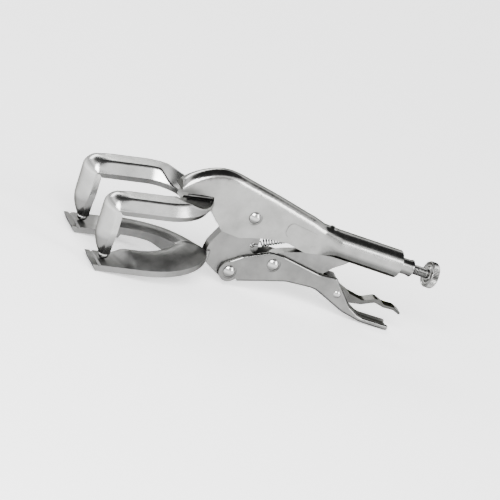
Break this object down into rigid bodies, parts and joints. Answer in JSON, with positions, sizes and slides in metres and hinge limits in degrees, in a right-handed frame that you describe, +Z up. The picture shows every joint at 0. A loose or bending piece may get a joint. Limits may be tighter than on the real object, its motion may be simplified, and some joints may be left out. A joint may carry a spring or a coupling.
{
  "type": "locking pliers",
  "caption": "Toggle-locking welding clamp pliers with U-shaped fork jaws, an over-centre lever with a release lever, and a knurled adjusting screw.",
  "frame": {"origin": "centre of the bounding box's base: the floor point midway along the tool, which stands on its two lower pads and the lever's tail", "axes": "+X towards the adjusting knob, jaws towards -X; +Y to the tool's far side, a symmetry axis; +Z up"},
  "size_m": [0.2268, 0.066, 0.0697],
  "materials": {
    "handle": "bright nickel plate over formed sheet, lightly brushed on the flats",
    "upper_fork": "bright nickel plate over a formed fork",
    "tang": "satin nickel plate",
    "upper_weld": "plated weld bead",
    "rivets": "polished domed rivet heads",
    "anchor_pin": "plain steel pin",
    "jaw_plate": "satin nickel plate",
    "lower_fork": "matte grey nickel plate, forged look",
    "lower_weld": "plated weld bead",
    "lever": "bright nickel plate, lightly brushed",
    "link": "matte nickel plate",
    "release": "bright nickel plate",
    "thrust_button": "hardened steel",
    "screw": "rolled thread, bright zinc",
    "knob": "knurled, bright nickel plate",
    "spring": "spring wire"
  },
  "bodies": {
    "handle": {"handle_shell": "handle", "upper_jaw_fork": "upper_fork", "upper_jaw_tang": "tang", "upper_fork_weld": "upper_weld", "jaw_pivot_rivet": "rivets", "spring_anchor_pin": "anchor_pin", "return_spring": "spring"},
    "lower_jaw": {"lower_jaw_plate": "jaw_plate", "lower_jaw_fork": "lower_fork", "lower_fork_weld": "lower_weld"},
    "lever": {"lever_channel": "lever", "lever_pivot_rivet": "rivets", "link_pivot_rivet": "rivets", "release_pivot_rivet": "rivets"},
    "link": {"toggle_link": "link"},
    "release": {"release_lever": "release"},
    "screw_carriage": {"screw_thrust_button": "thrust_button"},
    "screw": {"adjusting_screw": "screw", "adjusting_knob": "knob"}
  },
  "joints": [
    {"name": "jaw_open", "type": "hinge", "parent": "handle", "child": "lower_jaw", "pos_m": [-0.01228, 0, 0.04717], "axis": [0, -1, 0], "range_deg": [0, 20], "deforming": ["return_spring"]},
    {"name": "lever_fold", "type": "hinge", "parent": "lower_jaw", "child": "lever", "pos_m": [-0.0125, 0, 0.01013], "axis": [0, -1, 0], "range_deg": [-72, 0]},
    {"name": "link_fold", "type": "hinge", "parent": "lever", "child": "link", "pos_m": [0.01169, 0, 0.02146], "axis": [0, -1, 0], "range_deg": [0, 80]},
    {"name": "release_press", "type": "hinge", "parent": "lever", "child": "release", "pos_m": [0.05786, 0, 0.01419], "axis": [0, 1, 0], "range_deg": [0, 9]},
    {"name": "screw_travel", "type": "slide", "parent": "handle", "child": "screw_carriage", "axis": [0.9986, 0, -0.0532], "range_m": [0, 0.015]},
    {"name": "screw_turn", "type": "hinge", "parent": "screw_carriage", "child": "screw", "pos_m": [0.09753, 0, 0.04062], "axis": [0.9986, 0, -0.0532], "range_deg": [0, 5404]}
  ],
  "couplings": [
    {"joint": "lever_fold", "follows": "jaw_open", "ratio": -3.54},
    {"joint": "link_fold", "follows": "jaw_open", "ratio": 3.96},
    {"joint": "screw_turn", "follows": "screw_travel", "rad_per_m": 6283.2}
  ]
}
